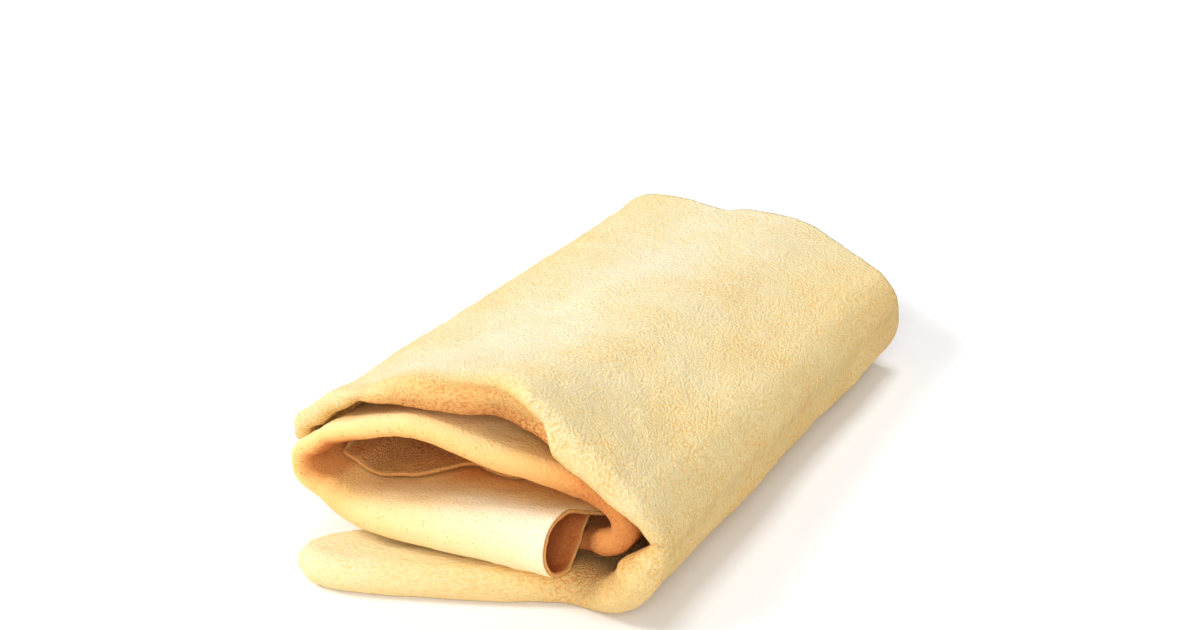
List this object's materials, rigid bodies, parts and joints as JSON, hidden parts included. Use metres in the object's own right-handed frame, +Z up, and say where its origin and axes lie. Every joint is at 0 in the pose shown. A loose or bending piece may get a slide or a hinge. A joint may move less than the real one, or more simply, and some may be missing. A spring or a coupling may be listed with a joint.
{
  "type": "chamois leather",
  "caption": "Soft napped chamois drying leather, doubled and folded into a loose packet with rounded folds, a curled inner end and a draped top flap.",
  "frame": {"origin": "middle of the packet's footprint, on the floor it lies on", "axes": "+Z up, +Y from the folded front lips to the cut edges at the back, +X from the loose end to the fold at the right"},
  "size_m": [0.176, 0.3096, 0.099],
  "materials": {
    "chamois": "pale yellow oil-tanned split hide, napped on both faces, matt"
  },
  "bodies": {
    "base": {"inner_panel": "chamois", "inner_left_fold": "chamois", "middle_panel": "chamois", "hook_fold": "chamois", "lower_panel": "chamois", "lower_left_fold": "chamois", "base_panel": "chamois", "right_fold": "chamois", "pocket_side": "chamois"},
    "top_flap": {"top_panel": "chamois"},
    "loose_flap": {"loose_end": "chamois"},
    "tongue": {"pocket_tongue": "chamois"}
  },
  "joints": [
    {"name": "top_flap_hinge", "type": "hinge", "parent": "base", "child": "top_flap", "pos_m": [0.05474, 0.0197, 0.027], "axis": [0.0171, 0.9991, -0.0384], "range_deg": [0, 110], "deforming": ["right_fold"]},
    {"name": "loose_end_hinge", "type": "hinge", "parent": "top_flap", "child": "loose_flap", "pos_m": [-0.02533, 0.0107, 0.0715], "axis": [0.0707, 0.9899, -0.1228], "range_deg": [0, 70]},
    {"name": "tongue_hinge", "type": "hinge", "parent": "base", "child": "tongue", "pos_m": [-0.04675, -0.08555, 0.03116], "axis": [0.0637, -0.9969, 0.0465], "range_deg": [0, 26]}
  ]
}
